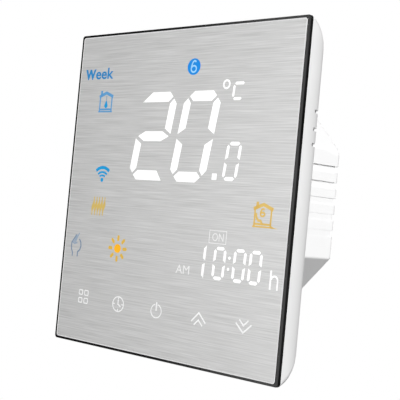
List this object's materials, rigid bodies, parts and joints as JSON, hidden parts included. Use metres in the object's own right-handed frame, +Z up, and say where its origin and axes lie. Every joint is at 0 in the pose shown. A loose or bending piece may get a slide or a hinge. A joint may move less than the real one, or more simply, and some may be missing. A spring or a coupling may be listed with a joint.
{
  "type": "wall thermostat",
  "caption": "Flush wall thermostat with a square brushed-metal touch panel on a pull-off cover, a steel mounting plate and an octagonal rear housing with screw terminals.",
  "frame": {"origin": "centre of the panel on the wall plane", "axes": "+X to the right of a person facing the wall, +Y into the wall, +Z up; the touch panel faces -Y"},
  "size_m": [0.086, 0.0366, 0.086],
  "materials": {
    "shell_plastic": "satin",
    "housing_plastic": "satin",
    "glass_black": "gloss",
    "brushed_face": "brushed",
    "mask_plastic": "matt",
    "circuit_board": "solder mask",
    "connector_plastic": "satin",
    "screen_can": "tin plate",
    "chip_plastic": "matt",
    "spring_steel": "bright wire",
    "screw_steel": "zinc plated",
    "plate_steel": "zinc plated",
    "terminal_plastic": "satin",
    "terminal_brass": "bright",
    "relay_plastic": "satin",
    "winding_tape": "film",
    "capacitor_box": "satin",
    "capacitor_sleeve": "sleeve",
    "varistor_coat": "epoxy",
    "fuse_cap": "satin"
  },
  "bodies": {
    "base": {"mounting_plate": "plate_steel", "housing_screw_1": "screw_steel", "housing_screw_2": "screw_steel", "housing_screw_3": "screw_steel", "housing_screw_4": "screw_steel", "rear_housing": "housing_plastic", "inner_cover": "housing_plastic", "power_board": "circuit_board", "header_socket": "connector_plastic", "relay": "relay_plastic", "transformer": "winding_tape", "film_capacitor": "capacitor_box", "supply_capacitor_1": "capacitor_sleeve", "supply_capacitor_2": "capacitor_sleeve", "varistor": "varistor_coat", "fuse": "fuse_cap", "terminal_block_main": "terminal_plastic", "terminal_block_sensor": "terminal_plastic", "main_tongue_1": "terminal_brass", "main_tongue_2": "terminal_brass", "main_tongue_3": "terminal_brass", "main_tongue_4": "terminal_brass", "main_tongue_5": "terminal_brass", "sensor_tongue_1": "terminal_brass", "sensor_tongue_2": "terminal_brass"},
    "front_cover": {"panel_glass": "glass_black", "brushed_overlay": "brushed_face", "front_shell": "shell_plastic", "light_mask": "mask_plastic", "display_board": "circuit_board", "wifi_module": "screen_can", "control_chip": "chip_plastic", "clock_cell": "screen_can", "room_sensor": "chip_plastic", "display_header": "connector_plastic", "touch_spring_1": "spring_steel", "touch_spring_2": "spring_steel", "touch_spring_3": "spring_steel", "touch_spring_4": "spring_steel", "touch_spring_5": "spring_steel", "board_screw_1": "screw_steel", "board_screw_2": "screw_steel", "board_screw_3": "screw_steel", "board_screw_4": "screw_steel"},
    "main_screw_1": {"main_screw_1": "screw_steel"},
    "main_cage_1": {"main_cage_1": "terminal_brass"},
    "main_screw_2": {"main_screw_2": "screw_steel"},
    "main_cage_2": {"main_cage_2": "terminal_brass"},
    "main_screw_3": {"main_screw_3": "screw_steel"},
    "main_cage_3": {"main_cage_3": "terminal_brass"},
    "main_screw_4": {"main_screw_4": "screw_steel"},
    "main_cage_4": {"main_cage_4": "terminal_brass"},
    "main_screw_5": {"main_screw_5": "screw_steel"},
    "main_cage_5": {"main_cage_5": "terminal_brass"},
    "sensor_screw_1": {"sensor_screw_1": "screw_steel"},
    "sensor_cage_1": {"sensor_cage_1": "terminal_brass"},
    "sensor_screw_2": {"sensor_screw_2": "screw_steel"},
    "sensor_cage_2": {"sensor_cage_2": "terminal_brass"}
  },
  "joints": [
    {"name": "cover_pull", "type": "slide", "parent": "base", "child": "front_cover", "axis": [0, -1, 0], "range_m": [0, 0.03]},
    {"name": "main_screw_1_turn", "type": "hinge", "parent": "base", "child": "main_screw_1", "pos_m": [-0.01016, 0.02165, -0.01765], "axis": [0, -1, 0], "range_deg": [0, 1980]},
    {"name": "main_cage_1_rise", "type": "slide", "parent": "base", "child": "main_cage_1", "axis": [0, 1, 0], "range_m": [0, 0.00248]},
    {"name": "main_screw_2_turn", "type": "hinge", "parent": "base", "child": "main_screw_2", "pos_m": [-0.00508, 0.02165, -0.01765], "axis": [0, -1, 0], "range_deg": [0, 1980]},
    {"name": "main_cage_2_rise", "type": "slide", "parent": "base", "child": "main_cage_2", "axis": [0, 1, 0], "range_m": [0, 0.00248]},
    {"name": "main_screw_3_turn", "type": "hinge", "parent": "base", "child": "main_screw_3", "pos_m": [0, 0.02165, -0.01765], "axis": [0, -1, 0], "range_deg": [0, 1980]},
    {"name": "main_cage_3_rise", "type": "slide", "parent": "base", "child": "main_cage_3", "axis": [0, 1, 0], "range_m": [0, 0.00248]},
    {"name": "main_screw_4_turn", "type": "hinge", "parent": "base", "child": "main_screw_4", "pos_m": [0.00508, 0.02165, -0.01765], "axis": [0, -1, 0], "range_deg": [0, 1980]},
    {"name": "main_cage_4_rise", "type": "slide", "parent": "base", "child": "main_cage_4", "axis": [0, 1, 0], "range_m": [0, 0.00248]},
    {"name": "main_screw_5_turn", "type": "hinge", "parent": "base", "child": "main_screw_5", "pos_m": [0.01016, 0.02165, -0.01765], "axis": [0, -1, 0], "range_deg": [0, 1980]},
    {"name": "main_cage_5_rise", "type": "slide", "parent": "base", "child": "main_cage_5", "axis": [0, 1, 0], "range_m": [0, 0.00248]},
    {"name": "sensor_screw_1_turn", "type": "hinge", "parent": "base", "child": "sensor_screw_1", "pos_m": [0.00254, 0.02165, 0.01935], "axis": [0, -1, 0], "range_deg": [0, 1980]},
    {"name": "sensor_cage_1_rise", "type": "slide", "parent": "base", "child": "sensor_cage_1", "axis": [0, 1, 0], "range_m": [0, 0.00248]},
    {"name": "sensor_screw_2_turn", "type": "hinge", "parent": "base", "child": "sensor_screw_2", "pos_m": [-0.00254, 0.02165, 0.01935], "axis": [0, -1, 0], "range_deg": [0, 1980]},
    {"name": "sensor_cage_2_rise", "type": "slide", "parent": "base", "child": "sensor_cage_2", "axis": [0, 1, 0], "range_m": [0, 0.00248]}
  ],
  "couplings": [
    {"joint": "main_screw_1_turn", "follows": "main_cage_1_rise", "rad_per_m": 13963},
    {"joint": "main_screw_2_turn", "follows": "main_cage_2_rise", "rad_per_m": 13963},
    {"joint": "main_screw_3_turn", "follows": "main_cage_3_rise", "rad_per_m": 13963},
    {"joint": "main_screw_4_turn", "follows": "main_cage_4_rise", "rad_per_m": 13963},
    {"joint": "main_screw_5_turn", "follows": "main_cage_5_rise", "rad_per_m": 13963},
    {"joint": "sensor_screw_1_turn", "follows": "sensor_cage_1_rise", "rad_per_m": 13963},
    {"joint": "sensor_screw_2_turn", "follows": "sensor_cage_2_rise", "rad_per_m": 13963}
  ]
}
